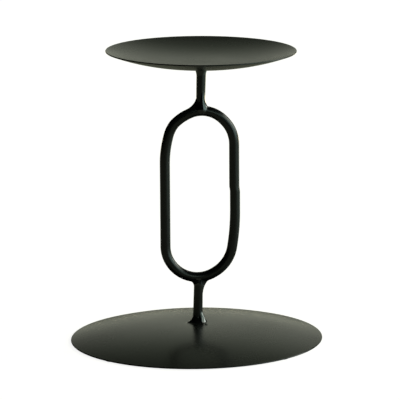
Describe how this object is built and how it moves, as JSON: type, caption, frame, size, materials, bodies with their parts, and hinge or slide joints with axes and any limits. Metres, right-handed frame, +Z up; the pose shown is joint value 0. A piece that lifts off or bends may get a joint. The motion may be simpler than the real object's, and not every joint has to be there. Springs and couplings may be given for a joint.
{
  "type": "pillar candlestick",
  "caption": "Welded steel pillar-candle holder: a shallow dished plate on a long ring of bent round bar, standing on a wide domed base.",
  "frame": {"origin": "on the floor, under the middle of the base", "axes": "+Z up; the ring lies in the XZ plane; the front faces -Y and the column leans a little to +X"},
  "size_m": [0.15, 0.15, 0.1752],
  "materials": {
    "dish_coat": "satin, fine texture",
    "bar_coat": "satin, fine texture",
    "weld_coat": "satin, rippled",
    "felt": "matt"
  },
  "bodies": {
    "root": {"base_dish": "dish_coat", "lower_stem": "bar_coat", "ring_bar": "bar_coat", "upper_stem": "bar_coat", "candle_plate": "dish_coat", "foot_weld": "weld_coat", "lower_ring_weld": "weld_coat", "ring_butt_weld": "bar_coat", "upper_ring_weld": "weld_coat", "plate_weld": "weld_coat", "felt_pad_1": "felt", "felt_pad_2": "felt", "felt_pad_3": "felt", "felt_pad_4": "felt"}
  },
  "joints": []
}
